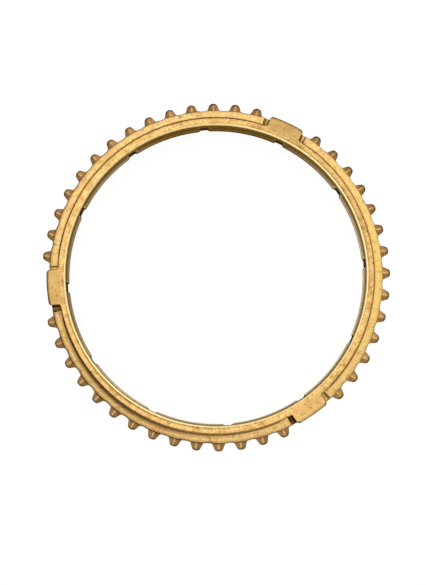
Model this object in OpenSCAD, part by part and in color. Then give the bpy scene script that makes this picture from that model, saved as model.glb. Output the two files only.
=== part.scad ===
// Synchronizer ring: a one-piece forged brass blocker ring for a gearbox.
// The gear side lies on z = 0, the hub side faces +Z, and Z is the ring's axis.
// One lug points along -X.

/* [Friction cone] */
// Diameter of the cone at its wide end, on the gear side
cone_d = 104.8; // [90:0.2:120]
// Half angle of the cone, in degrees
cone_angle = 6.5; // [5:0.25:8]
// Length of the cone along the axis
cone_len = 9.8; // [8.5:0.1:12]
// Chamfer at the cone's wide end
cone_chamfer = 0.4; // [0.2:0.05:0.8]

/* [Collar] */
// Height of the plain rim above the cone
rim_h = 1.2; // [1:0.1:2]
// Chamfer between the rim and the collar's top
rim_chamfer = 0.5; // [0.2:0.05:0.8]
// Width of the collar's flat top
collar_land = 2.2; // [1.5:0.1:3]
// Draft of the collar's outer wall, in degrees
collar_draft = 12; // [4:0.5:15]
// Radius of the collar's outer top edge
collar_round = 0.4; // [0.2:0.05:0.6]
// Radius of the cove at the collar's foot
collar_cove = 0.4; // [0.2:0.05:0.8]

/* [Flange] */
// Height of the flange's top above the gear side
flange_h = 5.5; // [5:0.1:6.5]
// Width of the flange's top, from the collar's foot to the flange's edge
flange_ledge = 3.25; // [2.6:0.05:4]
// Chamfer round the flange's top edge
flange_chamfer = 0.3; // [0.1:0.05:0.5]

/* [Teeth] */
// Places for teeth round the ring, with those that the lugs take up
tooth_places = 48; // [39:3:54]
// Height of a tooth beyond the flange's edge
tooth_h = 2.95; // [2.4:0.05:3.6]
// Width of a tooth at the flange's edge
tooth_w = 5.1; // [3.6:0.1:5.4]
// Lean of a tooth's flanks from the radius, in degrees
flank_angle = 24; // [14:1:25]
// Radius of a tooth's tip corners
tip_round = 1; // [0.3:0.05:1.1]
// Radius of the fillet at a tooth's foot
root_fillet = 0.6; // [0.3:0.05:0.8]
// Depth of the hollow in the flange's edge between two teeth
root_hollow = 0.2; // [0.12:0.02:0.3]
// Height of a tooth's ridge above the gear side
ridge_h = 4; // [3.5:0.1:4.6]
// Slope of the roof on each side of the ridge, in degrees
roof_angle = 35; // [25:1:40]
// Width of the flat along the ridge
ridge_flat = 0.5; // [0.2:0.05:0.8]

/* [Lugs] */
// Number of lugs round the ring
lug_count = 3; // [2:1:4]
// Width of a lug at its top
lug_w = 12.2; // [10:0.1:13]
// Draft of a lug's sides, in degrees
lug_draft = 3; // [1:0.5:5]
// Distance from a lug's outer wall in to the flange's edge
lug_inset = 0.65; // [0.35:0.05:1]
// Radius of a lug's outer corners
lug_corner = 1.2; // [0.6:0.1:2]
// Width of the slot beside each lug
slot_w = 1.2; // [0.8:0.05:1.6]
// Depth of that slot below the flange's top
slot_depth = 0.6; // [0.3:0.05:1]
// Depth of the flat that runs out of the slot along the collar's foot
flat_depth = 0.8; // [0.2:0.05:1]

/* [Oil grooves] */
// Number of oil grooves down the cone
groove_count = 12; // [6:1:18]
// Width of an oil groove
groove_w = 3; // [2:0.1:4]
// Depth of an oil groove, square to the cone
groove_depth = 0.6; // [0.4:0.05:0.9]

/* [Hidden] */
$fn = 180;
brass = "#d8a552";

// Direction of the first lug
lug_turn = 180;
// Steps in a small rounded corner, and along a lug's outer wall
corner_steps = 5;
wall_steps = 16;
// How far a cutter or a joined piece runs past the face it meets
past = 1;
// The cove at the collar's foot: its centre's height as a share of its radius, and its lowest angle
cove_rise = 0.7;
cove_end = 250;

ring_h = cone_len + rim_h;
cone_r = cone_d / 2;
rim_r = cone_r - cone_len * tan(cone_angle);
land_r = rim_r + rim_chamfer;
collar_r = land_r + collar_land;
foot_r = collar_r + (ring_h - flange_h) * tan(collar_draft);
flange_r = foot_r + flange_ledge;

tooth_pitch = 360 / tooth_places;
tip_r = flange_r + tooth_h;
root_r = flange_r - root_hollow;
tooth_half = tooth_w / 2;
tip_half = tooth_half - tooth_h * tan(flank_angle);
tip_corner = min(tip_round, 0.95 * tip_half / (1 / cos(flank_angle) - tan(flank_angle)));
root_half = flank_y(root_r + root_fillet) + root_fillet / cos(flank_angle);
gap_half = flange_r * sin(tooth_pitch / 2) - tooth_half;
hollow_r = 1 / (2 * root_hollow / pow(gap_half, 2) - 1 / flange_r);

lug_r = flange_r - lug_inset;
lug_half = lug_w / 2;
slot_floor = flange_h - slot_depth;
lug_foot = lug_half + (ring_h - slot_floor) * tan(lug_draft);
slot_half = lug_foot + slot_w;
flat_x = sqrt(pow(foot_r, 2) - pow(lug_foot, 2)) - flat_depth;
lug_pitch = 360 / lug_count;

// Points of a circular arc from angle a0 to angle a1
function arc(centre, r, a0, a1, steps) =
    [for (i = [0:steps]) let (a = a0 + (a1 - a0) * i / steps) centre + r * [cos(a), sin(a)]];

// Radius of the collar's drafted wall at height z
function wall_r(z) = collar_r + (ring_h - z) * tan(collar_draft);

// Distance of a tooth's straight flank from its centre line, at radius x
function flank_y(x) = tooth_half - (x - flange_r) * tan(flank_angle);

// The same points below the X axis, in the opposite order
function mirrored(points) =
    [for (i = [len(points) - 1:-1:0]) [points[i].x, -points[i].y]];

// Angle from a direction round to the nearest lug
function from_lug(a) = let (b = (a - lug_turn + 360) % lug_pitch) min(b, lug_pitch - b);

// Arc length along the flange's edge for an angle
function edge_length(a) = flange_r * a * PI / 180;

// A tooth stands where it clears the slots beside the lugs
function has_tooth(a) = edge_length(from_lug(a)) > slot_half + root_half;

// Section of the cone's wall with the collar: radius along X, height along Y
module core_section() {
    cove_z = flange_h + collar_cove * cove_rise;
    cove_x = wall_r(cove_z) + collar_cove / cos(collar_draft);
    cove = arc([cove_x, cove_z], collar_cove, cove_end, 180 + collar_draft, corner_steps);
    round_z = ring_h - collar_round;
    round_x = wall_r(round_z) - collar_round / cos(collar_draft);
    polygon(concat(
        [
            [cone_r + cone_chamfer, 0],
            [cove[0].x, 0]
        ],
        cove,
        arc([round_x, round_z], collar_round, collar_draft, 90, corner_steps),
        [
            [land_r, ring_h],
            [rim_r, ring_h - rim_chamfer],
            [rim_r, cone_len],
            [cone_r - cone_chamfer * tan(cone_angle), cone_chamfer]
        ]
    ));
}

// Section of the flange, which reaches into the cone's wall
module flange_section() {
    polygon([
        [foot_r - past, 0],
        [flange_r, 0],
        [flange_r, flange_h - flange_chamfer],
        [flange_r - flange_chamfer, flange_h],
        [foot_r - past, flange_h]
    ]);
}

// One oil groove along +X: its floor follows the cone and it stops below the rim
module oil_groove() {
    groove_len = cone_len / cos(cone_angle);
    translate([rim_r, 0, cone_len])
        rotate([0, -cone_angle, 0])
        translate([-past, -groove_w / 2, -groove_len - past])
        cube([past + groove_depth, groove_w, groove_len + past]);
}

// Straight flat across the collar's foot behind a lug, which runs out on each side of it
module collar_flat() {
    flat_half = sqrt(pow(foot_r + collar_cove, 2) - pow(flat_x, 2)) + past;
    translate([flat_x, -flat_half, slot_floor - past])
        cube([flange_r - flat_x, 2 * flat_half, ring_h]);
}

// Slot across the flange under a lug, open on each side of it
module flange_slot() {
    translate([foot_r / 2, -slot_half, slot_floor])
        cube([flange_r, 2 * slot_half, slot_depth + past]);
}

// Shallow hollow in the flange's edge, halfway between two teeth
module edge_hollow() {
    translate([root_r + hollow_r, 0, -past])
        cylinder(r = hollow_r, h = flange_h + 2 * past);
}

// Plan of a tooth: filleted foot, leaning flank and rounded tip, then the other side
module tooth_plan() {
    tip_x = tip_r - tip_corner;
    tip_y = flank_y(tip_x) - tip_corner / cos(flank_angle);
    side = concat(
        [[flange_r - past, root_half]],
        arc([root_r + root_fillet, root_half], root_fillet, 180, 270 - flank_angle, corner_steps),
        arc([tip_x, tip_y], tip_corner, 90 - flank_angle, 0, corner_steps)
    );
    polygon(concat(side, mirrored(side)));
}

// A tooth along +X, with its pointed roof towards the hub
module tooth() {
    eave_y = root_half + past;
    eave_z = ridge_h - (eave_y - ridge_flat / 2) * tan(roof_angle);
    intersection() {
        linear_extrude(ridge_h + past) tooth_plan();
        translate([flange_r - 2 * past, 0, 0])
            rotate([90, 0, 90])
            linear_extrude(tooth_h + 3 * past)
            polygon([
                [-eave_y, -past],
                [eave_y, -past],
                [eave_y, eave_z],
                [ridge_flat / 2, ridge_h],
                [-ridge_flat / 2, ridge_h],
                [-eave_y, eave_z]
            ]);
    }
}

// Plan of a lug at its foot: straight sides, rounded corners and an outer wall on the lug's circle
module lug_plan() {
    corner_y = lug_foot - lug_corner;
    corner_x = sqrt(pow(lug_r - lug_corner, 2) - pow(corner_y, 2));
    corner_a = asin(corner_y / (lug_r - lug_corner));
    corner = arc([corner_x, corner_y], lug_corner, 90, corner_a, corner_steps);
    inner = [[land_r + collar_land / 2, lug_foot]];
    outer = arc([0, 0], lug_r, corner_a, -corner_a, wall_steps);
    polygon(concat(
        inner,
        corner,
        [for (i = [1:wall_steps - 1]) outer[i]],
        mirrored(corner),
        mirrored(inner)
    ));
}

// A lug along +X: level with the collar's top, with drafted sides
module lug() {
    lug_base = slot_floor - past;
    base_half = lug_half + (ring_h - lug_base) * tan(lug_draft);
    intersection() {
        translate([0, 0, lug_base])
            linear_extrude(ring_h - lug_base) lug_plan();
        rotate([90, 0, 90])
            linear_extrude(tip_r)
            polygon([
                [-base_half, lug_base],
                [base_half, lug_base],
                [lug_half, ring_h],
                [-lug_half, ring_h]
            ]);
    }
}

// The whole ring: the cone's wall with the collar, the flange, the teeth and the lugs
module synchronizer_ring() {
    color(brass) union() {
        difference() {
            rotate_extrude() core_section();
            for (i = [0:groove_count - 1])
                rotate(lug_turn + 360 * i / groove_count) oil_groove();
            for (i = [0:lug_count - 1])
                rotate(lug_turn + lug_pitch * i) collar_flat();
        }
        difference() {
            rotate_extrude() flange_section();
            for (i = [0:lug_count - 1])
                rotate(lug_turn + lug_pitch * i) flange_slot();
            for (i = [0:tooth_places - 1]) {
                a = lug_turn + tooth_pitch * i;
                if (has_tooth(a - tooth_pitch / 2) && has_tooth(a + tooth_pitch / 2))
                    rotate(a) edge_hollow();
            }
        }
        for (i = [0:tooth_places - 1]) {
            a = lug_turn + tooth_pitch * (i + 0.5);
            if (has_tooth(a)) rotate(a) tooth();
        }
        for (i = [0:lug_count - 1])
            rotate(lug_turn + lug_pitch * i) lug();
    }
}

synchronizer_ring();
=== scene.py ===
# %% [markdown]
# # A forged brass synchronizer ring
# A synchronizer ring works between a gear and its hub: its cone rubs on the gear's cone until both turn
# alike, and its teeth hold the sliding sleeve back until then. Here it lies on a white table with its hub
# side up, and the camera looks down almost along its axis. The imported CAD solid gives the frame. The
# surface that is made below takes the solid's place, with the same sizes and with the softer edges of a
# real forging.

# %% Load the solid and keep its box
import math
import bpy
import numpy as np
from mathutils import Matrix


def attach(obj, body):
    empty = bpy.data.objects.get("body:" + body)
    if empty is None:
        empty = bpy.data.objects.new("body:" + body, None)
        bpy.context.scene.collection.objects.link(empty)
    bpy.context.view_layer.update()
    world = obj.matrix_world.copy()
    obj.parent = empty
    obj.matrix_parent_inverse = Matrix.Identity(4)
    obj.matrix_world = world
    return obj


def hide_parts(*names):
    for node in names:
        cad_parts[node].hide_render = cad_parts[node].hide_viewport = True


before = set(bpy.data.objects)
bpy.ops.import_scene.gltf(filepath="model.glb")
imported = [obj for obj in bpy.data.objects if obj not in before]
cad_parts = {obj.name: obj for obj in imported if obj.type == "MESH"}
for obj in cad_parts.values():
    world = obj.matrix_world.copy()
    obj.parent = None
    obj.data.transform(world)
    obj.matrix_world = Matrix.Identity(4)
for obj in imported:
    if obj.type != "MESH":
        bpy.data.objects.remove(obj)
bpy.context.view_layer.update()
print("nodes:", sorted(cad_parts))

# %% [markdown]
# ## The sizes of the ring
# A drawing of such a ring gives radii from the bore to the tooth tips, and heights from the gear side,
# which lies on the table. They could be measured on the solid's mesh. They are written here once instead,
# in millimetres, and the rest is worked out from them as in the solid, so that the place of every edge is
# known exactly.

# %% Sizes in millimetres
CONE_R = 52.4
CONE_LEN = 9.8
CONE_ANGLE = math.radians(6.5)
CONE_CHAMFER = 0.4
RING_H = 11.0
RIM_CHAMFER = 0.5
COLLAR_LAND = 2.2
COLLAR_DRAFT = math.radians(12)
FLANGE_H = 5.5
FLANGE_LEDGE = 3.25
ROOT_HOLLOW = 0.2
TOOTH_H = 2.95
NEAR = 0.02  # sizes that differ by less than this count as the same

RIM_R = CONE_R - CONE_LEN * math.tan(CONE_ANGLE)
COLLAR_R = RIM_R + RIM_CHAMFER + COLLAR_LAND
FOOT_R = COLLAR_R + (RING_H - FLANGE_H) * math.tan(COLLAR_DRAFT)
FLANGE_R = FOOT_R + FLANGE_LEDGE
ROOT_R = FLANGE_R - ROOT_HOLLOW
TIP_R = FLANGE_R + TOOTH_H
print("radii of rim, collar, foot, flange and tip in mm:",
      np.round([RIM_R, COLLAR_R, FOOT_R, FLANGE_R, TIP_R], 2).tolist())

# %% [markdown]
# ## The ring seen from above
# The whole ring is one surface: a closed outline of its section is carried round the axis, and it changes
# from column to column. Cutting a lathed body with blocks would be another way, but such cuts leave ragged
# edges that are hard to soften. So the columns come first. A tooth, a gap and a lug each get their own set,
# placed where their edges are. A tooth has straight flanks that lean in, a fillet at its foot and a round
# at each tip corner.

# %% Columns across half of a tooth
FLANK_LEAN = math.radians(24)
TOOTH_HALF = 2.55
ROOT_FILLET = 0.6
TIP_ROUND = 1.0
RIDGE_HALF = 0.25
FLANK_SHARE = 0.35  # where the one column between fillet and tip round stands


def flank_offset(radius):
    """Distance of a tooth's flank from its middle: it shrinks with the radius by the tangent of the lean."""
    return TOOTH_HALF - (radius - FLANGE_R) * math.tan(FLANK_LEAN)


def arc_points(centre, radius, first, last, count):
    """Points on a circle: the centre plus the radius times cosine and sine, at even steps of the angle."""
    turn = np.radians(np.linspace(first, last, count))
    return np.column_stack([centre[0] + radius * np.cos(turn), centre[1] + radius * np.sin(turn)])


root_half = flank_offset(ROOT_R + ROOT_FILLET) + ROOT_FILLET / math.cos(FLANK_LEAN)
tip_x = TIP_R - TIP_ROUND
tip_y = flank_offset(tip_x) - TIP_ROUND / math.cos(FLANK_LEAN)
flank_turn = math.degrees(FLANK_LEAN)
foot_points = arc_points((ROOT_R + ROOT_FILLET, root_half), ROOT_FILLET, 180, 270 - flank_turn, 3)
corner_points = arc_points((tip_x, tip_y), TIP_ROUND, 90 - flank_turn, 0, 4)
flank_middle = foot_points[-1] + FLANK_SHARE * (corner_points[0] - foot_points[-1])
half_tooth = np.vstack([foot_points, flank_middle, corner_points, [TIP_R, RIDGE_HALF]])
print("points along half of a tooth:", len(half_tooth))

# %% [markdown]
# A tooth is the same on both sides. The half could be mirrored as a mesh, but then its seam would have to
# be joined. Here only the list of columns is mirrored: each is an angle from the tooth's middle and a
# radius.

# %% Columns across a whole tooth
half_angle = np.degrees(np.arctan2(half_tooth[:, 1], half_tooth[:, 0]))
half_radius = np.hypot(half_tooth[:, 0], half_tooth[:, 1])
tooth_angle = np.concatenate([-half_angle, [0], half_angle[::-1]])
tooth_radius = np.concatenate([half_radius, [TIP_R], half_radius[::-1]])
print("columns in a tooth:", len(tooth_angle), "half angle at the foot: %.2f" % half_angle[0])

# %% [markdown]
# Between two teeth the flange's edge is hollow by a fifth of a millimetre. A circle would draw it as well
# as the parabola that is used here, which needs one line. Three columns are enough, as the fillets have
# their own.

# %% Columns across a gap between two teeth
PITCH = 7.5  # degrees from tooth to tooth
GAP_HALF = FLANGE_R * math.sin(math.radians(PITCH / 2)) - TOOTH_HALF
gap_angle = np.array([-0.6, 0.0, 0.6])  # degrees


def gap_outline(angle):
    """Radius of the flange's edge between teeth: the root radius plus a shallow parabola up to the flange."""
    across = ROOT_R * np.sin(np.radians(angle))
    return ROOT_R + (FLANGE_R - ROOT_R) * (across / GAP_HALF) ** 2


gap_radius = gap_outline(gap_angle)
print("columns in a gap:", len(gap_angle))

# %% [markdown]
# A driving lug is a block that fits a notch in the hub. Its sides are straight, so its columns run parallel
# to its middle and not along the radius. It could be a block of its own, set into the ring, but on the real
# one the metal runs on without a seam. Each column has a distance from the lug's middle, the height of the
# lug there, and the height of the flange beside it. The sides lean by the draft, with a small round at the
# top and at the foot, and end in a shallow slot.

# %% Profile across half of a lug
LUG_INSET = 0.65
LUG_HALF = 6.1
LUG_CORNER = 1.2
LUG_DRAFT = math.radians(3)
LUG_ROUND = 0.3
ROUND_SHIFT = 0.02  # the draft moves the centre of the top's round out by this
SIDE_DROP = 3.2  # depth of the one column between the two rounds
SLOT_W = 1.2
SLOT_DEPTH = 0.6
FLOOR_COLUMN = 6.95  # place of the one column on the slot's floor

LUG_R = FLANGE_R - LUG_INSET
SLOT_FLOOR = FLANGE_H - SLOT_DEPTH
side_foot = LUG_HALF + (RING_H - SLOT_FLOOR) * math.tan(LUG_DRAFT)
lug_top = np.array([0.0, 0.6, 1.33, 1.77, 2.6, 3.8, 4.7, 5.1, 5.4, 5.62])
top_flat = np.column_stack([lug_top, np.full(len(lug_top), RING_H)])
top_round = arc_points((LUG_HALF - LUG_ROUND + ROUND_SHIFT, RING_H - LUG_ROUND), LUG_ROUND, 90, 3, 4)
side_middle = [LUG_HALF + SIDE_DROP * math.tan(LUG_DRAFT), RING_H - SIDE_DROP]
foot_round = arc_points((side_foot + LUG_ROUND, SLOT_FLOOR + LUG_ROUND), LUG_ROUND, 183, 270, 3)
slot_middle = [FLOOR_COLUMN, SLOT_FLOOR]
print("the lug's side meets the slot %.2f mm from its middle" % side_foot)

# %% [markdown]
# The slot ends in a short ramp up to the flange, softened above and below. A bevel would give the same, but
# here five points of the profile do it, each a distance from the slot's end and a height above its floor.

# %% Columns across a lug and its slots
slot_end = np.array([[-0.14, 0.0], [-0.05, 0.08], [0.02, 0.3], [0.09, 0.52], [0.2, 0.6]])
slot_end = slot_end + [side_foot + SLOT_W, SLOT_FLOOR]
half_lug = np.vstack([top_flat, top_round, side_middle, foot_round, slot_middle, slot_end])
half_floor = np.full(len(half_lug), SLOT_FLOOR)
half_floor[-len(slot_end):] = slot_end[:, 1]
lug_y = np.concatenate([-half_lug[:0:-1, 0], half_lug[:, 0]])
lug_h = np.concatenate([half_lug[:0:-1, 1], half_lug[:, 1]])
lug_floor = np.concatenate([half_floor[:0:-1], half_floor])
print("columns in a lug with its slots:", len(lug_y))

# %% [markdown]
# One third of the ring is a lug, then fourteen teeth with thirteen gaps. The third could be made as a mesh
# and copied twice, but three copies would leave three seams. Instead all the columns are put in one list,
# sorted by angle. Each has six numbers: its angle, the outline's radius at its foot, its place on a tooth
# and on a lug, and the heights of the top and of the floor beside it.

# %% Columns of one third of the ring
TEETH_PER_LUG = 14
THIRD = 120  # degrees
FIRST_TOOTH = 11.25  # degrees from a lug's middle to the first tooth's
PARALLEL_FROM = COLLAR_R  # outside this radius a lug's columns are parallel
NO_TOOTH = 90.0  # marks a column that lies on no tooth
NO_LUG = 99.0  # marks a column that lies on no lug


def column_block(*numbers):
    """Six numbers for each column of one kind, every one an array or a value that is the same for all."""
    return np.stack(np.broadcast_arrays(*numbers))


tooth_centres = FIRST_TOOTH + PITCH * np.arange(TEETH_PER_LUG)
gap_centres = tooth_centres[:-1] + PITCH / 2
tooth_places = (tooth_centres[:, None] + tooth_angle).ravel()
tooth_outline = np.tile(tooth_radius, TEETH_PER_LUG)
on_tooth = np.tile(tooth_angle, TEETH_PER_LUG)
gap_places = (gap_centres[:, None] + gap_angle).ravel()
lug_places = np.degrees(np.arcsin(lug_y / PARALLEL_FROM))
third = np.hstack([
    column_block(lug_places, FLANGE_R, NO_TOOTH, lug_y, lug_h, lug_floor),
    column_block(tooth_places, tooth_outline, on_tooth, NO_LUG, FLANGE_H, FLANGE_H),
    column_block(gap_places, np.tile(gap_radius, len(gap_centres)), NO_TOOTH, NO_LUG, FLANGE_H, FLANGE_H),
])
third = third[:, np.argsort(third[0])]
print("columns in a third:", third.shape[1])

# %% [markdown]
# Three thirds make the ring, turned to the three lugs. An array modifier could repeat a mesh, but repeating
# the list of columns keeps the ring in one piece.

# %% All the columns round the ring
LUG_TURNS = np.array([60.0, 180.0, 300.0])
lug_turn = np.repeat(LUG_TURNS, third.shape[1])
columns = np.tile(third, len(LUG_TURNS))
columns[0] += lug_turn
col_angle, plan_r, from_tooth, from_lug, top_h, floor_h = columns
is_lug = from_lug < NO_LUG
is_tooth = from_tooth < NO_TOOTH
count = len(col_angle)
print("columns round the ring:", count)

# %% [markdown]
# ## The section, row by row
# Each row of the section is a pair of arrays: a radius and a height for every column. The rows climb the
# cone, go over the rim and the collar, down the collar's wall, across the flange, over the teeth, and back
# under the ring. Where a lug stands, the rows of the collar's wall are lifted to the lug's top, so no face
# collapses. A Screw modifier would turn one section round the axis, but it can't change it from column to
# column.

# %% A list of rows
rows_r = []
rows_z = []
rows_zone = []


def add_row(zone, radius, height):
    """Adds one row of the section: a radius and a height for each column, and the name of its zone."""
    rows_r.append(np.broadcast_to(np.asarray(radius, float), (count,)))
    rows_z.append(np.broadcast_to(np.asarray(height, float), (count,)))
    rows_zone.append(zone)


def count_rows(what):
    """Prints how many rows the section has so far."""
    print("rows up to", what + ":", len(rows_r))


print("points in each row:", count)

# %% [markdown]
# The friction cone has twelve oil grooves, each under a gap between two teeth or under a lug. They run out
# through the chamfer at the gear side and stop short of the rim. They could be cut out with boxes. Here a
# groove is a number for each column, from 0 on the cone to 1 on the groove's floor.

# %% Oil grooves
GROOVE_DEPTH = 0.6
GROOVE_PITCH = 30.0  # degrees from groove to groove
GROOVE_FLOOR = 1.43  # half the floor's width in degrees
GROOVE_LIP = 1.85  # half the opening's width in degrees
GROOVE_STOP = 0.25  # the grooves stop this far below the cone's end

from_groove = np.abs((col_angle + GROOVE_PITCH / 2) % GROOVE_PITCH - GROOVE_PITCH / 2)
in_groove = np.clip((GROOVE_LIP - from_groove) / (GROOVE_LIP - GROOVE_FLOOR), 0, 1)
print("columns on a groove's floor:", int((in_groove == 1).sum()))

# %% [markdown]
# The cone is turned with fine sharp rings, which cut through the oil film. On the real ring they are one
# long thread, and as rings they look the same and close on themselves. A bump pattern would be lighter, but
# rings with real depth shade each other. They are drawn at 0.9 mm, coarser than the real ones, so that they
# show, and they get deeper towards the rim.

# %% Rows of the friction cone
THREAD_PITCH = 0.9
THREAD_DEPTH = 0.3
THREAD_STEPS = np.array([0.0, 0.25, 0.45])
LOW_SHARE = 0.35  # share of the depth that the lowest ring has


def cone_radius(height):
    """Radius of the friction cone: it shrinks with the height by the tangent of the half angle."""
    return CONE_R - height * math.tan(CONE_ANGLE)


groove_cut = GROOVE_DEPTH * in_groove
add_row("bore", CONE_R + np.maximum(CONE_CHAMFER, groove_cut), 0.0)
turns = int((CONE_LEN - 2 * CONE_CHAMFER) / THREAD_PITCH)
thread_z = CONE_CHAMFER + THREAD_PITCH * (np.arange(turns)[:, None] + THREAD_STEPS).ravel()
thread_cut = np.tile([0.0, 0.0, THREAD_DEPTH], turns) * (LOW_SHARE + (1 - LOW_SHARE) * thread_z / CONE_LEN)
for height, cut in zip(thread_z, thread_cut):
    add_row("bore", cone_radius(height) + np.maximum(cut, groove_cut), height)
cone_top = CONE_LEN - GROOVE_STOP
add_row("bore", cone_radius(cone_top) + groove_cut, cone_top)
print("turned rings in the cone:", turns)
count_rows("the cone")

# %% [markdown]
# The rim above the cone is short and plain, with a bright turned chamfer. A bevel modifier could soften its
# corners, but it would soften every other edge by the same size. So each corner gets a few rows of its own.
# The collar's top has a very shallow ring that the tool left beside the rim.

# %% Rows of the rim and the collar's top
RIM_WALL = [(0.0, -1.1), (0.0, -0.6), (0.0, -0.34)]
RIM_CORNER = [(0.04, -0.22), (0.13, -0.15), (0.3, -0.08), (0.48, -0.02)]
LAND_RING = [(51.86, 0.0), (52.02, 0.08), (52.24, 0.0), (52.8, 0.0), (53.45, 0.0)]

for out, up in RIM_WALL:
    add_row("rim wall", RIM_R + out, RING_H + up)
for out, up in RIM_CORNER:
    add_row("rim", RIM_R + out, RING_H + up)
for radius, down in LAND_RING:
    add_row("land", radius, RING_H - down)
count_rows("the collar's top")

# %% [markdown]
# The collar's wall leans outwards to a narrow cove at the flange, as the draft of a forging die needs. Next
# to each lug it is cut straight across, so it draws in a little towards the slot. This could be a second
# cut with a plane. Here the wall's radius is the smaller of the leaning wall's and the flat's, and a lug's
# column takes the higher of the wall and the lug.

# %% Rows of the collar's edge, wall and cove
COLLAR_ROUND = 0.4
FLAT_DEPTH = 0.8
WALL_HEIGHTS = (10.0, 8.9, 7.8, 6.7)
COVE_W = 0.3
COVE = [(0.0, 0.3), (0.05, 0.12), (0.14, 0.03), (COVE_W, 0.0)]

flat_x = math.sqrt(FOOT_R ** 2 - side_foot ** 2) - FLAT_DEPTH
lug_lean = np.arcsin(np.clip(from_lug / FOOT_R, -1, 1))
near_lug = np.where(is_lug, lug_lean, np.radians(col_angle % THIRD - THIRD / 2))
flat_r = flat_x / np.cos(near_lug)


def collar_wall(height):
    """Radius of the collar's wall: it grows downwards by the tangent of the draft, up to the flat."""
    drafted = COLLAR_R + (RING_H - height) * math.tan(COLLAR_DRAFT)
    return np.where(height < top_h - NEAR, drafted, np.minimum(drafted, flat_r))


round_z = RING_H - COLLAR_ROUND
round_r = COLLAR_R + COLLAR_ROUND * (math.tan(COLLAR_DRAFT) - 1 / math.cos(COLLAR_DRAFT))
for radius, height in arc_points((round_r, round_z), COLLAR_ROUND, 90, 12, 4):
    add_row("edge", radius, np.maximum(height, top_h))
for height in WALL_HEIGHTS:
    add_row("wall", collar_wall(height), np.maximum(height, top_h))
for out, up in COVE:
    add_row("cove", collar_wall(floor_h) + out, np.maximum(floor_h + up, top_h))
count_rows("the cove")

# %% [markdown]
# The next rows cross the flange. On a lug they cross its top, turn over its outer edge and come down its
# outer wall to the narrow ledge that is left of the flange. The lug's outer wall follows the ring, and its
# two corners are round. It could be cut with a cylinder. Here its radius is worked out at every column,
# before any row is added.

# %% Outer wall of the lugs
FLANGE_MID = 56.6

corner_y = LUG_HALF - LUG_CORNER
corner_x = math.sqrt((LUG_R - LUG_CORNER) ** 2 - corner_y ** 2)
beyond = np.clip(np.abs(from_lug) - corner_y, 0, LUG_CORNER)
corner_out = corner_x + np.sqrt(LUG_CORNER ** 2 - beyond ** 2)
round_out = np.hypot(corner_out, np.minimum(np.abs(from_lug), LUG_HALF))
lug_out = np.where(np.abs(from_lug) < corner_y, LUG_R, round_out)
outer = np.where(top_h > floor_h + NEAR, lug_out, FLANGE_MID)
lift = np.clip(top_h - floor_h, 0, 1)
print("columns with a lug's wall:", int((outer != FLANGE_MID).sum()))

# %% [markdown]
# The same rows serve the flat flange and the lug: the drop of each row is multiplied by the lift, which is
# 1 on a lug and 0 on the flange. Two sets of rows would need a seam where they meet.

# %% Rows of the lugs and the flange's top
TOP_SHARES = (0.3, 0.62)
LIP_W = 0.3
LIP = [(-0.46, 0.0), (-LIP_W, 0.02), (-0.09, 0.09), (0.0, 0.3)]
SIDE_SHARES = (0.35, 0.7)
SIDE_LEAN = 0.1
BASE = [(0.12, 0.25), (0.22, 0.06), (0.38, 0.0)]

start = collar_wall(floor_h) + COVE_W
for share in TOP_SHARES:
    add_row("top", start + share * (outer - LIP_W - start), top_h)
for out, down in LIP:
    add_row("lip", outer + out, top_h - down * lift)
for share in SIDE_SHARES:
    add_row("side", outer + SIDE_LEAN * share, top_h + share * (floor_h - top_h))
for out, up in BASE:
    add_row("base", outer + out, floor_h + up * lift)
count_rows("the flange's top")

# %% [markdown]
# The flange ends in a softened edge, and a tooth starts below it. The top of a tooth is a roof, which falls
# from a narrow ridge on each side and leads the sleeve's teeth past it. Forty-two copies of one tooth would
# be quick to place, but each would cut into the flange's wall. Here a row of the roof runs out from that
# wall to the tooth's outline. In a gap there is nothing to reach, so the same rows are spread down the wall
# and keep apart.

# %% Rows of the flange's edge and the roofs
BRINK = [(-0.5, 0.0), (-0.26, -0.03), (-0.08, -0.15), (0.0, -0.4)]
RIDGE_H = 4.0
ROOF = math.radians(35)
GAP_ROOF = 2.2  # degrees from a tooth's middle whose height the rows keep in a gap
EAVE_ROUND = 0.38
EAVE_SHARE = 0.6  # share of a short reach that the eave's round may take
SPREAD = 0.25
SPREAD_REACH = 0.5
ROOF_SHARES = (0.0, 0.12, 0.45, 0.8)

wall_r = np.minimum(plan_r, FLANGE_R)
for out, up in BRINK:
    add_row("brink", wall_r + out, floor_h + up)


def roof_height(radius):
    """Height of a tooth's roof: the ridge less the distance from its middle times the slope's tangent."""
    across = np.abs(radius * np.sin(np.radians(np.where(is_tooth, from_tooth, GAP_ROOF))))
    return RIDGE_H - np.maximum(across - RIDGE_HALF, 0) * math.tan(ROOF)


reach = plan_r - wall_r
spread = SPREAD * np.clip(1 - reach / SPREAD_REACH, 0, 1)
eave = np.minimum(EAVE_ROUND, EAVE_SHARE * reach)
add_row("root", wall_r, roof_height(wall_r) + spread + SPREAD)
for share in ROOF_SHARES:
    radius = wall_r + share * (reach - eave)
    add_row("roof", radius, roof_height(radius) + spread * (1 - share))
count_rows("the roofs")

# %% [markdown]
# The roof rounds over at the eave and turns down the tooth's outer face, which ends in a small round at the
# gear side. Each face could be bevelled by itself, but these rows follow the outline from above, so the
# flanks and the tip are rounded together.

# %% Rows of the eaves and the tooth tips
EAVE = [(1.0, 0.0), (0.3, 0.3), (0.0, 1.0)]
TIP_SHARES = (0.6, 0.2)
TIP_EDGE = [(0.0, 0.22), (0.06, 0.06), (0.22, 0.0)]

for out, down in EAVE:
    radius = plan_r - eave * out
    add_row("roof", radius, roof_height(radius) - eave * down - spread * (0.5 + down))
for share in TIP_SHARES:
    add_row("tip", plan_r, share * roof_height(plan_r))
for out, up in TIP_EDGE:
    add_row("tip", plan_r - out, up)
count_rows("the tips")

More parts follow.
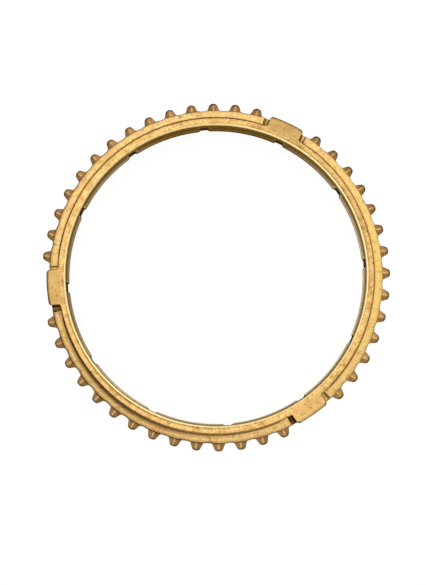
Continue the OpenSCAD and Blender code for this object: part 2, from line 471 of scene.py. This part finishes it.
# %% [markdown]
# The gear side is flat, and its last row meets the chamfer where the cone began, which closes the section.
# One wide face would do, but a few rows keep its faces near to square.

# %% Rows of the gear side
for radius in (57.6, 56.2, 54.6, 53.4):
    add_row("back", radius, 0.0)
row_count = len(rows_r)
count_rows("the gear side")

# %% [markdown]
# ## From rows and columns to a mesh
# A column by a lug keeps its distance from the lug's middle outside the collar, so its angle is the arc
# sine of that distance over the radius. All others keep their angle. Rows and columns both close on
# themselves, so the mesh is a closed ring with no seam. Points and faces are worked out as whole arrays,
# which is much quicker than adding them one by one.

# %% Points and faces as whole arrays
ring_r = np.array(rows_r)
ring_z = np.array(rows_z)
parallel = np.degrees(np.arcsin(np.clip(from_lug / np.maximum(ring_r, PARALLEL_FROM), -1, 1)))
ring_a = np.radians(np.where(is_lug, lug_turn + parallel, col_angle))
points = np.stack([ring_r * np.cos(ring_a), ring_r * np.sin(ring_a), ring_z], axis=-1).reshape(-1, 3)

row_index, col_index = np.meshgrid(np.arange(row_count), np.arange(count), indexing="ij")
next_row = (row_index + 1) % row_count
next_col = (col_index + 1) % count
faces = np.stack([
    row_index * count + col_index,
    next_row * count + col_index,
    next_row * count + next_col,
    row_index * count + next_col,
], axis=-1).reshape(-1, 4)
print("points:", len(points), "triangles:", 2 * len(faces))

# %% [markdown]
# Blender keeps a mesh as lists of points, corners and faces. A list of tuples could fill them, but
# foreach_set takes the arrays as they are. Here the millimetres become metres. Faces are shaded smooth, and
# edges of more than 50 degrees are kept sharp, as at the ends of the grooves.

# %% The mesh and its object
METRES_PER_MM = 0.001
SHARP_FROM = math.radians(50)


def grid_mesh(name, points_mm, quads):
    """Makes a mesh from an array of points in millimetres and an array of four-cornered faces."""
    mesh = bpy.data.meshes.new(name)
    mesh.vertices.add(len(points_mm))
    mesh.vertices.foreach_set("co", (points_mm * METRES_PER_MM).astype(np.float32).ravel())
    mesh.loops.add(quads.size)
    mesh.loops.foreach_set("vertex_index", quads.astype(np.int32).ravel())
    mesh.polygons.add(len(quads))
    mesh.polygons.foreach_set("loop_start", np.arange(0, quads.size, 4, dtype=np.int32))
    mesh.polygons.foreach_set("use_smooth", np.ones(len(quads), dtype=bool))
    mesh.update(calc_edges=True)
    mesh.validate()
    piece = bpy.data.objects.new(name, mesh)
    bpy.context.scene.collection.objects.link(piece)
    return piece


ring = grid_mesh("brass_ring", points, faces)
ring.data.set_sharp_from_angle(angle=SHARP_FROM)
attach(ring, "root")
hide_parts("synchronizer_ring")
print("ring made:", len(ring.data.polygons), "faces")

# %% [markdown]
# ## Where each finish lies
# The real ring was forged, tumbled and then turned. So its skin is not the same all over: the lathe left
# the rim and the collar bright, and the flange is as forged. Some dirt lies on it, and shade in the corners
# and on the steep sides is painted into the colour, as are highlights on some edges. This could be painted
# by hand. Here each finish, painted shade and painted highlight is a number from 0 to 1 at every point,
# worked out from the rows and columns, because they already say which face a point lies on.

# %% Numbers kept at every point
zones = np.array(rows_zone)


def zone_rows(*names):
    """A column of ones for the rows of these zones and zeros for the rest."""
    return np.isin(zones, names).astype(float)[:, None]


def row_values(zone, *values):
    """A column that gives the rows of one zone these values in turn and zeros to the rest."""
    column = np.zeros((row_count, 1))
    column[zones == zone, 0] = values
    return column


def store(name, values):
    """Keeps one number per point in the mesh, for the material to read."""
    everywhere = np.broadcast_to(values, (row_count, count))
    layer = ring.data.attributes.new(name, "FLOAT", "POINT")
    layer.data.foreach_set("value", everywhere.astype(np.float32).ravel())
    print("finish", name, "mean %.3f" % np.mean(everywhere))


print("zones of the section:", sorted(set(rows_zone)))

# %% [markdown]
# Painted shade and painted highlights are not even round the ring. A noise pattern would scatter them, but
# here they belong to sides, as the light falls: the far side and the lower left side get painted shade, and
# the left side gets some of it too. A side is a share that is 1 at one angle and falls off to 0 at the
# opposite one. A power of it makes the side narrower. Angles start at the x axis, which points about to
# the right of the picture, and grow against the clock.

# %% Sides of the ring
FAR_AT = 75  # degrees, as are all the sides below
LEFT_AT = 170
LOWER_LEFT_AT = 225


def side_share(middle, lobes=1):
    """A share round the ring: 1 at the middle angle, falling as a cosine to 0, once or on two sides."""
    return 0.5 + 0.5 * np.cos(np.radians(lobes * (col_angle - middle)))


def at_least(low, share):
    """A share that starts from a low value: the low value plus the share of what is left up to 1."""
    return low + (1 - low) * share


# The far side and the lower left side, which faces away from the light, are where most shade is painted.
far_side = side_share(FAR_AT)
left_side = side_share(LEFT_AT)
lower_left = side_share(LOWER_LEFT_AT)
print("columns more than half sooty:", int((far_side > 0.5).sum()))
print("columns more than half grimy:", int((lower_left > 0.5).sum()))

# %% [markdown]
# The lathe cut the rim, the collar's top and the tops of the lugs. The rim and the ridges of the teeth get
# a painted highlight, a paler shine, the rim more on the sides where the light catches it. The Pointiness
# value of a Geometry node could find such edges, but it would shine every edge alike, so the rows of both
# are named.

# %% Turned faces and painted highlights
RIM_BRIGHT_AT = 15
RIM_PALE_AT = 60

store("turned", np.maximum(zone_rows("rim", "land"), (ring_z > RING_H - NEAR).astype(float)))
is_ridge = from_tooth == 0
# Painted highlight on the rim, stronger on some sides, as the light falls.
rim_sides = 0.5 * side_share(RIM_BRIGHT_AT, 2) + 0.4 * lower_left ** 4 + 0.4 * side_share(RIM_PALE_AT) ** 6
rim_share = np.clip(0.4 + rim_sides, 0, 1)
rim_highlight = (row_values("rim wall", 0, 0, 1) + row_values("rim", 1, 1, 1, 0.5)) * rim_share
# Painted highlight along the ridges of the teeth.
ridge_highlight = row_values("roof", 0.1, 0.3, 0.3, 0.3, 0.2, 0, 0) * is_ridge
store("painted_highlight", rim_highlight + ridge_highlight)

# %% [markdown]
# The slopes of the teeth keep a warmer skin than the flange. The ridge between them is left pale as a
# painted highlight, and the warm skin is thinner at the bottom of the picture, so the teeth there are
# painted lighter, as if lit more. On the right, the flange is more golden. Each could be a material of its
# own, but then it would end at an edge of a face and could not fade.

# %% Warm teeth with painted light, and golden side
TEETH_LIT_AT = 265
GOLDEN_AT = 355

tooth_columns = reach > NEAR
beside_ridge = np.abs(np.radians(from_tooth) * FLANGE_R) < RIDGE_HALF + NEAR
ridge_share = np.where(is_ridge, 1, 0.6 * beside_ridge)
# The ridge is painted paler, as a highlight.
ridge_painted_light = row_values("roof", 0.5, 1, 1, 1, 0.8, 0.3, 0) * ridge_share
warm_teeth = zone_rows("roof", "tip") * tooth_columns - ridge_painted_light
# The teeth at the bottom of the picture are painted lighter, as if lit more.
store("toothed", warm_teeth * (1 - 0.45 * side_share(TEETH_LIT_AT) ** 2))
store("golden", side_share(GOLDEN_AT) ** 8)

# %% [markdown]
# Shade is painted into the corner at the collar's foot, on the collar's edge and wall above it, and in the
# shallow ring beside the rim, and a painted shadow of the collar lies on the flange on the lower left side.
# The ring beside the rim is also darker on the right. An ambient occlusion node could find such corners,
# but it would find them all alike. The rows know them already, so each zone gets a few values, one for each
# of its rows, and a side of the ring where they hold.

# %% Painted shade in the corners
LAND_DARK_AT = 20
FOOT_SHADE_AT = 90

open_foot = top_h < floor_h + LUG_ROUND
# Painted shade in the shallow ring beside the rim, on the lower left side.
ring_shade = row_values("land", 0.2, 0.8, 0.4, 0, 0) * side_share(LOWER_LEFT_AT, 2) * at_least(0.5, lower_left)
# Darker next to the rim on the right.
land_darkening = row_values("land", 0.1, 0.2, 0.2, 0.1, 0) * side_share(LAND_DARK_AT) ** 8
# Painted shade on the collar's rounded edge, its wall and the cove at its foot.
edge_shade = row_values("edge", 0.4, 1, 1, 1) * at_least(0.2, np.maximum(far_side, left_side))
wall_shade = row_values("wall", 0.6, 0.4, 0.4, 0.5) * at_least(0.15, far_side)
cove_shade = row_values("cove", 0.9, 1, 1, 0.9) * at_least(0.5, left_side)
# Painted shade on the flange beside the collar's foot, on the far side.
foot_shade = row_values("top", 0.8, 0.3) * side_share(FOOT_SHADE_AT) ** 4
# Painted shadow of the collar on the flange, on the lower left side.
shadow_in = row_values("top", 0.8, 0.6) + row_values("lip", 0.48, 0.45, 0.36, 0.32)
shadow_out = row_values("side", 0.3, 0.26) + row_values("base", 0.22, 0.18, 0.12)
collar_shadow = (shadow_in + shadow_out) * lower_left ** 8
dirt_and_shade = ring_shade + land_darkening + (edge_shade + wall_shade + cove_shade + foot_shade + collar_shadow) * open_foot
print("dirt in the corners: mean %.3f" % dirt_and_shade.mean())

# %% [markdown]
# More shade is painted on the flange's rounded edge, as a dark line that is widest on the lower left, as a
# shadow at the feet of the teeth, and along the eaves and the tips of the teeth. One slope of each roof is
# painted lighter than the other, as if lit from that side, and the roofs on the far side are painted
# darker. A second material for these faces would end at their edges. Values by row and column fade from
# one face to the next.

# %% Painted shade on the flange's edge and the teeth
LINE_AT = 215
LIGHTER_FROM = -1.45  # degrees from a tooth's middle where the flank painted lighter starts

# The painted dark line on the flange's edge is widest on the lower left.
line_side = side_share(LINE_AT) ** 1.5
brink_shade = row_values("brink", 0, 0.3, 0.9, 1) * at_least(0.1, far_side ** 2)
brink_shadow = row_values("brink", 0.42, 1, 1, 1) * line_side
tooth_foot_shadow = row_values("roof", 0.3, 0.35, 0.1, 0, 0, 0, 0) * line_side
slope_shade = row_values("roof", 0.3, 0.04, 0.1, 0.28, 0, 0, 0) * np.where(from_tooth < 0, 0.5, 1)
eave_shade = row_values("roof", 0, 0, 0, 0, 0.65, 0.95, 1) * np.where(from_tooth < LIGHTER_FROM, 0.5, 1)
tip_shade = row_values("tip", 0.6, 0.4, 0.25, 0.25, 0.3)
roof_shade = row_values("roof", 0.1, 0.2, 0.2, 0.2, 0.2, 0, 0) * far_side
tooth_shade = (slope_shade + eave_shade + tip_shade + roof_shade + tooth_foot_shadow) * tooth_columns
# The root row is a painted shadow at the feet of the teeth.
dirt_and_shade = dirt_and_shade + brink_shade + brink_shadow + row_values("root", 1) + tooth_shade
print("with the teeth: mean %.3f" % dirt_and_shade.mean())

# %% [markdown]
# The lugs have a thin film of dirt on their tops, which are more even in tone than the rest of the turned
# faces, and a dark line of painted shade round their outline and at the foot of their outer walls. Both
# differ from lug to lug. They could be painted on, but a short list with one value for each lug is easier
# to change.

# %% Dirt and painted shade on the lugs
LUG_FILM = np.array([0.24, 0.2, 0.04])
LUG_OUTLINE_SHADE = np.array([0.8, 1.0, 0.5])

on_lug = is_lug & (top_h > RING_H - NEAR)
which_lug = (lug_turn / THIRD).astype(int)
film_rows = row_values("land", 0, 0, 0, 0.5, 1) + zone_rows("edge", "wall", "cove", "top")
lug_corner = np.abs(from_lug) > corner_y
outline_share = np.maximum(LUG_OUTLINE_SHADE[which_lug], lug_corner)
# Painted shade round the lug's outline, and at the foot of its outer wall.
lug_outline_shade = row_values("lip", 0.6, 1, 1, 1) * on_lug * outline_share
lug_shade = lug_outline_shade + row_values("base", 1, 0.9, 0.3) * lift
dirt_and_shade = dirt_and_shade + lug_shade + film_rows * on_lug * LUG_FILM[which_lug]
store("smoothed", film_rows * on_lug)

# %% [markdown]
# Each lug casts a shadow into its slots, away from the light at the upper right, and it is painted in: two
# of the six slots have a dark floor, one a half dark floor, and three are nearly clear. For each lug, and for
# each of its two slots, the list gives the painted shadow on the floor, on the ramp at the slot's end, and on
# the lug's side. A pattern would make the slots alike, and on the real ring they are not.

# %% Painted shadow in the slots
SLOT_SHADOW = np.array([
    [(0.1, 0.6, 0.9), (0.4, 0.1, 1.0)],
    [(0.05, 0.15, 0.75), (0.62, 0.15, 1.0)],
    [(0.8, 0.35, 1.0), (0.15, 0.25, 0.5)],
])

beside_lug = is_lug & (top_h < floor_h + NEAR)
slot_side = is_lug & ~beside_lug & ~on_lug
slot_floor = beside_lug & (floor_h < SLOT_FLOOR + NEAR)
slot_ramp = beside_lug & ~slot_floor & (floor_h < FLANGE_H - NEAR)
on_floor, on_ramp, on_side = SLOT_SHADOW[which_lug, (from_lug > 0).astype(int)].T
outer_rows = zone_rows("wall", "cove", "top", "lip", "side", "base", "brink")
# Painted shadow of each lug on its slots.
slot_shadow = outer_rows * (on_side * slot_side + on_ramp * slot_ramp + on_floor * slot_floor)
print("dirt in the slots: mean %.4f" % slot_shadow.mean())

# %% [markdown]
# The lower edge of the cone is painted darker too: as shade on the far side, and darker on the left. A
# gradient texture could draw it, but the height of each point is already at hand, and the darkening fades
# out over the lowest four millimetres. This is the last of the dirt and the painted shade, so the sum is
# cut off at 1 and kept.

# %% Painted shade on the cone and the sum of dirt and shade
LOW_EDGE_FADE = 3

# Painted shade low on the far side of the cone.
far_bore_shade = np.clip(1.3 - ring_z / LOW_EDGE_FADE, 0, 1) * far_side ** 4
# Darker low on the left.
left_bore_dark = np.clip(1.4 - ring_z / LOW_EDGE_FADE, 0, 1) * 0.7 * left_side ** 4
bore_dark = zone_rows("bore") * np.maximum(far_bore_shade, left_bore_dark)
store("dirty_and_shaded", np.clip(np.maximum(dirt_and_shade, slot_shadow) + bore_dark, 0, 1))

# %% [markdown]
# The cone is painted darker where shade falls on it: most under the rim, which hangs over it, and on the
# far side, and it is darker on the left as well. It only darkens the metal, so it is one more number.

# %% Painted shade on the cone
CONE_SHADE_AT = 80
CONE_SHADE_LEFT_AT = 175
UNDER_RIM_FROM = 7
UNDER_RIM_FADE = 1.4

# Painted shade under the rim and on the far side, and darker on the left.
under_rim = np.clip((ring_z - UNDER_RIM_FROM) / UNDER_RIM_FADE, 0, 1)
cone_shade_side = 1.2 * side_share(CONE_SHADE_AT) ** 6 + 0.45 * side_share(CONE_SHADE_LEFT_AT) ** 4
store("cone_shade", np.clip(cone_shade_side + 1.2 * under_rim - 0.2, -0.2, 1))

# %% [markdown]
# ## Forged brass
# The ring is forged manganese brass, tumbled after forging. To the eye that is a satin gold skin with a
# fine grain, small brown pits, and patches that lean to pink or to yellow. Turned faces are smoother and
# show rings. An image texture could hold all this, but a few noise patterns in millimetres stay sharp at
# any distance.

# %% Colours and nodes


def linear_colour(code):
    """Turns an sRGB hex colour into linear values, with the usual curve for each channel."""
    srgb = np.array([int(code[i:i + 2], 16) for i in (1, 3, 5)]) / 255
    linear = np.where(srgb <= 0.04045, srgb / 12.92, ((srgb + 0.055) / 1.055) ** 2.4)
    return (*linear.tolist(), 1.0)


def per_mm(size):
    """Scale of a pattern whose features are about this many millimetres across: how many fit in a metre."""
    return 1000.0 / size


def start_material(name):
    """Makes an empty material, and gives it back with its node tree."""
    material = bpy.data.materials.new(name)
    material.use_nodes = True
    material.node_tree.nodes.clear()
    return material, material.node_tree


def add_node(tree, kind, settings=None, inputs=None, links=None):
    """Adds one node: settings are its properties, inputs its values, links its incoming sockets."""
    node = tree.nodes.new(kind)
    for key, value in (settings or {}).items():
        setattr(node, key, value)
    for key, value in (inputs or {}).items():
        node.inputs[key].default_value = value
    for key, socket in (links or {}).items():
        tree.links.new(socket, node.inputs[key])
    return node


print("scale of a pattern of 1 mm:", per_mm(1.0))

# %% [markdown]
# The material reads the finishes as attributes of the mesh. Its patterns read Object coordinates, which are
# the ring's own, so they stay on the ring when it is moved. Generated ones would be stretched to the ring's
# flat box.

# %% The brass and the numbers it reads
brass, tree = start_material("forged_brass")
place = add_node(tree, "ShaderNodeTexCoord").outputs["Object"]
finish = {
    name: add_node(tree, "ShaderNodeAttribute", {"attribute_name": name}).outputs["Fac"]
    for name in ("turned", "smoothed", "painted_highlight", "golden", "toothed", "dirty_and_shaded")
}
print("material:", brass.name, "reads", sorted(finish))

# %% [markdown]
# Five patterns lie on the skin. The forging grain is drawn at 0.8 mm and the pits at 1.2 mm, both coarser
# than the real ones, so that they show. Stains are 2.6 mm across, and patches of pink and yellow 6 mm. The
# lathe's marks are rings, so that pattern reads only the distance from the axis. They too are drawn coarser
# than they are, at 0.5 mm.

# %% Patterns of the skin
SKIN_SIZES = {"grain": 0.8, "patch": 6.0, "pits": 1.2, "stain": 2.6}
RING_SIZE = 0.5

patterns = {
    name: add_node(tree, "ShaderNodeTexNoise", links={"Vector": place},
                   inputs={"Scale": per_mm(size), "Detail": 4.0, "Roughness": 0.62}).outputs["Fac"]
    for name, size in SKIN_SIZES.items()
}
flat_place = add_node(tree, "ShaderNodeVectorMath", {"operation": "MULTIPLY"},
                      inputs={1: (1.0, 1.0, 0.0)}, links={0: place})
from_axis = add_node(tree, "ShaderNodeVectorMath", {"operation": "LENGTH"},
                     links={0: flat_place.outputs["Vector"]})
lathe_rings = add_node(tree, "ShaderNodeTexNoise", {"noise_dimensions": "1D"},
                       inputs={"Scale": per_mm(RING_SIZE), "Detail": 2.0, "Roughness": 0.7},
                       links={"W": from_axis.outputs["Value"]})
patterns["rings"] = lathe_rings.outputs["Fac"]
print("patterns:", sorted(patterns))

# %% [markdown]
# The colours go on in layers. The forged skin gets its patches, grain and stains, a golden side and warm
# teeth. The turned skin gets its rings, patches, grain and stains, and an even tone on the lugs. It then
# covers the forged one where the lathe cut, and over both lie the pits, the painted highlights and last the
# dirt and painted shade.
# Each layer is a pattern or a finish, the two values between which it fades in, how far it covers, and its
# colour.

# %% Layers of colour
FORGED = "#ffda90"
LATHED = "#ffdb90"
forged_layers = [
    (patterns["patch"], 0.46, 0.62, 0.7, "#f3bd80"),
    (patterns["patch"], 0.46, 0.34, 0.8, "#f0cd70"),
    (patterns["grain"], 0.48, 0.68, 0.7, "#d6a660"),
    (patterns["stain"], 0.55, 0.72, 0.55, "#b98443"),
    (finish["golden"], 0.0, 1.0, 0.7, "#ffd97c"),
    (finish["toothed"], 0.0, 1.0, 1.0, "#fcc07c"),
]
lathed_layers = [
    (patterns["rings"], 0.42, 0.68, 0.9, "#d6a45c"),
    (patterns["patch"], 0.5, 0.64, 0.5, "#eeb779"),
    (patterns["grain"], 0.44, 0.62, 0.6, "#c89852"),
    (patterns["stain"], 0.48, 0.66, 0.75, "#b8893f"),
    (finish["smoothed"], 0.0, 1.0, 0.55, "#e4b974"),
]
top_layers = [
    (patterns["pits"], 0.57, 0.72, 0.8, "#8a5a20"),
    # painted highlight on the rim and the ridges of the teeth
    (finish["painted_highlight"], 0.0, 1.0, 1.0, "#fff1b0"),
    # dirt and painted shade, in one brown
    (finish["dirty_and_shaded"], 0.0, 1.0, 1.0, "#4c2802"),
]
print("layers of colour:", len(forged_layers) + len(lathed_layers) + len(top_layers))

# %% [markdown]
# A colour ramp could join a few of these layers, but not all, because they follow different patterns. So
# each layer is one mix, and one function lays a whole stack of them.

# %% The stack of layers


def lay(tree, base, stack):
    """Lays a stack of colours on a base, each one over the last by the share that its pattern gives."""
    for pattern, low, high, share, code in stack:
        cover = add_node(tree, "ShaderNodeMapRange", links={"Value": pattern},
                         inputs={"From Min": low, "From Max": high, "To Max": share})
        mix = add_node(tree, "ShaderNodeMix", {"data_type": "RGBA"}, inputs={7: linear_colour(code)},
                       links={0: cover.outputs["Result"]})
        if isinstance(base, str):
            mix.inputs[6].default_value = linear_colour(base)
        else:
            tree.links.new(base, mix.inputs[6])
        base = mix.outputs[2]
    return base


cut_clean = add_node(tree, "ShaderNodeMix", {"data_type": "RGBA"}, links={
    0: finish["turned"],
    6: lay(tree, FORGED, forged_layers),
    7: lay(tree, LATHED, lathed_layers),
})
skin = lay(tree, cut_clean.outputs[2], top_layers)
print("nodes in the brass so far:", len(tree.nodes))

# %% [markdown]
# The skin is a metal all over. The lathe's faces are smoother than the forged ones, and dirt and painted
# shade make a face dull. The grain raises the skin by a few hundredths of a millimetre, which bump shows
# well enough. Brass keeps its gold when seen along the surface, so the edge of its reflection is tinted too.

# %% Surface of the brass
BRASS_EDGE = linear_colour("#ffe9b8")
FORGED_ROUGH = 0.46
LATHED_ROUGH = 0.34
DIRT_SHADE_ROUGH = 0.25
GRAIN_HEIGHT = 0.06 * METRES_PER_MM

rough = add_node(tree, "ShaderNodeMapRange", inputs={"To Min": FORGED_ROUGH, "To Max": LATHED_ROUGH},
                 links={"Value": finish["turned"]})
dull = add_node(tree, "ShaderNodeMath", {"operation": "MULTIPLY_ADD"}, inputs={1: DIRT_SHADE_ROUGH},
                links={0: finish["dirty_and_shaded"], 2: rough.outputs["Result"]})
bump = add_node(tree, "ShaderNodeBump", inputs={"Strength": 0.5, "Distance": GRAIN_HEIGHT},
                links={"Height": patterns["grain"]})
shader = add_node(tree, "ShaderNodeBsdfPrincipled", inputs={"Metallic": 1.0, "Specular Tint": BRASS_EDGE},
                  links={"Base Color": skin, "Roughness": dull.outputs[0], "Normal": bump.outputs["Normal"]})
add_node(tree, "ShaderNodeOutputMaterial", links={"Surface": shader.outputs["BSDF"]})
ring.data.materials.append(brass)
print("nodes in the brass:", len(tree.nodes))

# %% [markdown]
# ## The cone and its grooves
# The friction cone has run on steel in oil, and is an olive brown. It is painted darker where shade falls,
# almost black low on the far side, where the painted shade is deepest, and darker low on the left. It could
# be one more layer of the skin, but how a face shines at its edge is one value for a whole material, so the
# cone gets its own. The painted shade varies in blots of about 5 mm.

# %% Turned cone
CONE_EDGE = linear_colour("#8c7748")
CONE_CLEAN = linear_colour("#efd8b4")
CONE_SHADED = linear_colour("#a07c38")
CONE_DEEP_SHADE = linear_colour("#241504")
CONE_BLOT = 5.0
BLOT_SHARE = 0.4

cone_brass, tree = start_material("turned_cone_brass")
place = add_node(tree, "ShaderNodeTexCoord").outputs["Object"]
cone_blots = add_node(tree, "ShaderNodeTexNoise", links={"Vector": place},
               inputs={"Scale": per_mm(CONE_BLOT), "Detail": 4.0, "Roughness": 0.6})
cone_shade = add_node(tree, "ShaderNodeAttribute", {"attribute_name": "cone_shade"})
# The cone's colour is darkened by its painted shade and by random blots.
cone_darkening = add_node(tree, "ShaderNodeMath", {"operation": "MULTIPLY_ADD", "use_clamp": True},
                inputs={1: BLOT_SHARE}, links={0: cone_blots.outputs["Fac"], 2: cone_shade.outputs["Fac"]})
olive = add_node(tree, "ShaderNodeMix", {"data_type": "RGBA"}, inputs={6: CONE_CLEAN, 7: CONE_SHADED},
                 links={0: cone_darkening.outputs[0]})
shade_attribute = add_node(tree, "ShaderNodeAttribute", {"attribute_name": "dirty_and_shaded"})
# Almost black where the painted shade on the cone is deepest.
shaded_cone = add_node(tree, "ShaderNodeMix", {"data_type": "RGBA"}, inputs={7: CONE_DEEP_SHADE},
                  links={0: shade_attribute.outputs["Fac"], 6: olive.outputs[2]})
shader = add_node(tree, "ShaderNodeBsdfPrincipled", links={"Base Color": shaded_cone.outputs[2]},
                  inputs={"Metallic": 1.0, "Roughness": 0.35, "Specular Tint": CONE_EDGE})
add_node(tree, "ShaderNodeOutputMaterial", links={"Surface": shader.outputs["BSDF"]})
ring.data.materials.append(cone_brass)
print("material:", cone_brass.name, "with", len(tree.nodes), "nodes")

# %% [markdown]
# The deep shade in the grooves is painted in as a dark brown material, drawn like forging scale. It is
# matt and hardly shines, so it is a material of its own and not a colour of the brass. Its blots are drawn at
# 1.2 mm, coarser than forging scale, so that they show.

# %% Painted shade in the grooves
GROOVE_SHADE_DARK = linear_colour("#241506")
GROOVE_SHADE_BROWN = linear_colour("#453014")
GROOVE_BLOT_SIZE = 1.2

# This material is the painted shade in the grooves.
scale, tree = start_material("groove_shade")
place = add_node(tree, "ShaderNodeTexCoord").outputs["Object"]
groove_blots = add_node(tree, "ShaderNodeTexNoise", inputs={"Scale": per_mm(GROOVE_BLOT_SIZE), "Detail": 3.0},
                 links={"Vector": place})
brown = add_node(tree, "ShaderNodeMix", {"data_type": "RGBA"}, inputs={6: GROOVE_SHADE_DARK, 7: GROOVE_SHADE_BROWN},
                 links={0: groove_blots.outputs["Fac"]})
shader = add_node(tree, "ShaderNodeBsdfPrincipled", inputs={"Roughness": 0.95, "Specular IOR Level": 0.05},
                  links={"Base Color": brown.outputs[2]})
add_node(tree, "ShaderNodeOutputMaterial", links={"Surface": shader.outputs["BSDF"]})
ring.data.materials.append(scale)
print("material:", scale.name, "with", len(tree.nodes), "nodes")

# %% [markdown]
# Each face has the number of its material. Faces could be picked by hand in edit mode, but a face belongs
# to a row and a column too, so the rows of the bore give the cone, and the columns of the grooves give the
# painted shade. It ends below the groove's top, and lower on the far side, where less of it shows.

# %% Which face has which material
CONE_FACE = 1
SHADE_FACE = 2
SHADE_SHARE = 0.9
SHADE_FALL = 0.55
GROOVE_SHARE = 0.9  # a face lies in a groove if its two columns sum to more

bore_row = np.isin(zones, ["bore", "rim wall"])
cone_row = zones == "bore"
bore_faces = bore_row & np.roll(bore_row, -1)
groove_faces = cone_row & np.roll(cone_row, -1)
groove_columns = in_groove + np.roll(in_groove, -1) > GROOVE_SHARE
shade_top = CONE_LEN * (SHADE_SHARE - SHADE_FALL * side_share(CONE_SHADE_AT) ** 2)
kinds = np.zeros((row_count, count), dtype=np.int32)
kinds[bore_faces] = CONE_FACE
# Faces of painted shade in the grooves.
kinds[groove_faces[:, None] & groove_columns & (ring_z < shade_top)] = SHADE_FACE
ring.data.polygons.foreach_set("material_index", kinds.ravel())
print("faces of brass, cone and scale:", np.bincount(kinds.ravel()).tolist())

# %% [markdown]
# ## The table, the light and the camera
# The ring was shot on plain white. A table that is only lit would come out grey beside bright brass, so the
# camera, and the reflections in the brass, see most of its white as its own glow. The rest of it is still
# lit, so a faint shadow stays where the ring touches it. It lies a hair below the ring's underside, because
# two faces in the same plane would flicker.

# %% Table
TABLE_HALF = 4000.0
TABLE_DROP = 0.05
corners = np.array([[-1, -1, 0], [1, -1, 0], [1, 1, 0], [-1, 1, 0]]) * TABLE_HALF - [0, 0, TABLE_DROP]
table = grid_mesh("table", corners, np.array([[0, 1, 2, 3]]))
print("table made, %.1f m wide" % (2 * TABLE_HALF * METRES_PER_MM))

# %% [markdown]
# The table is white paper, which is matt. A ray that a matt face sends on sees plain paper. Rays from the
# camera, and those that a shiny or a clear face sends on, see the glow with a grey paper under it. A
# brighter lamp on the table would be simpler, but it would also wash out the brass.

# %% White paper
PAPER = linear_colour("#f4f4f4")
SHADED_PAPER = linear_colour("#6c6c6c")
GLOW = 0.92

paper, tree = start_material("white_table")
path = add_node(tree, "ShaderNodeLightPath").outputs
camera_or_gloss = add_node(tree, "ShaderNodeMath", {"operation": "MAXIMUM"},
                           links={0: path["Is Camera Ray"], 1: path["Is Glossy Ray"]})
seen = add_node(tree, "ShaderNodeMath", {"operation": "MAXIMUM"},
                links={0: camera_or_gloss.outputs[0], 1: path["Is Transmission Ray"]})
matt = add_node(tree, "ShaderNodeBsdfDiffuse", inputs={"Color": PAPER})
shaded = add_node(tree, "ShaderNodeBsdfDiffuse", inputs={"Color": SHADED_PAPER})
glow = add_node(tree, "ShaderNodeEmission", inputs={"Strength": GLOW})
shown = add_node(tree, "ShaderNodeAddShader", links={0: shaded.outputs[0], 1: glow.outputs[0]})
white = add_node(tree, "ShaderNodeMixShader",
                 links={0: seen.outputs[0], 1: matt.outputs[0], 2: shown.outputs[0]})
add_node(tree, "ShaderNodeOutputMaterial", links={"Surface": white.outputs[0]})
table.data.materials.append(paper)
print("material:", paper.name, "with", len(tree.nodes), "nodes")

# %% [markdown]
# A large soft box hangs over the ring, a little up and to the left, so the flat faces show their own
# colour. A smaller and stronger one stands at the upper right, which leaves the lower left sides of the
# lugs dark. The world is a dim white, so that the steep sides stay darker than the tops. One lamp alone
# would give hard shadows.

# %% Lights and world
WORLD_STRENGTH = 0.26

world = bpy.data.worlds.new("studio")
bpy.context.scene.world = world
world.use_nodes = True
world.node_tree.nodes["Background"].inputs["Color"].default_value = linear_colour("#ffffff")
world.node_tree.nodes["Background"].inputs["Strength"].default_value = WORLD_STRENGTH


def soft_box(name, place_m, size, radiance):
    """A square area lamp turned to the ring. Its power is pi times its area times the brightness it shows."""
    data = bpy.data.lights.new(name, "AREA")
    data.size = size
    data.energy = math.pi * size * size * radiance
    lamp = bpy.data.objects.new(name, data)
    lamp.location = place_m
    lamp.rotation_euler = (-lamp.location).to_track_quat("-Z", "Y").to_euler()
    bpy.context.scene.collection.objects.link(lamp)
    print("light:", name, "%.2f W" % data.energy)


soft_box("overhead", place_m=(-0.05, 0.05, 0.55), size=0.78, radiance=1.12)
soft_box("window", place_m=(0.38, 0.40, 0.34), size=0.3, radiance=1.8)

# %% [markdown]
# The camera hangs about 22 cm above the table and looks almost straight down, turned a little, as the
# picture is. It could be set by eye. Its place, turn and lens were worked out instead, from circles of the
# ring at several heights, which shift against each other when the camera moves.

# %% Camera
SENSOR = 36.0
LENS = 37.48
CAMERA_PLACE = (-0.00234, -0.01455, 0.21761)
CAMERA_TURN = (2.339, -0.025, -4.668)

camera = bpy.data.cameras.new("camera")
camera.sensor_width = SENSOR
camera.lens = LENS
camera.clip_start = 0.01
viewer = bpy.data.objects.new("camera", camera)
viewer.location = CAMERA_PLACE
viewer.rotation_euler = tuple(math.radians(turn) for turn in CAMERA_TURN)
bpy.context.scene.collection.objects.link(viewer)
bpy.context.scene.camera = viewer
bpy.context.scene.view_settings.view_transform = "Standard"
print("camera %.0f mm above the table" % (CAMERA_PLACE[2] / METRES_PER_MM))

# %% [markdown]
# Last, the view layer is updated, so that the dressed ring's place is current.

# %% Update the view layer
bpy.context.view_layer.update()
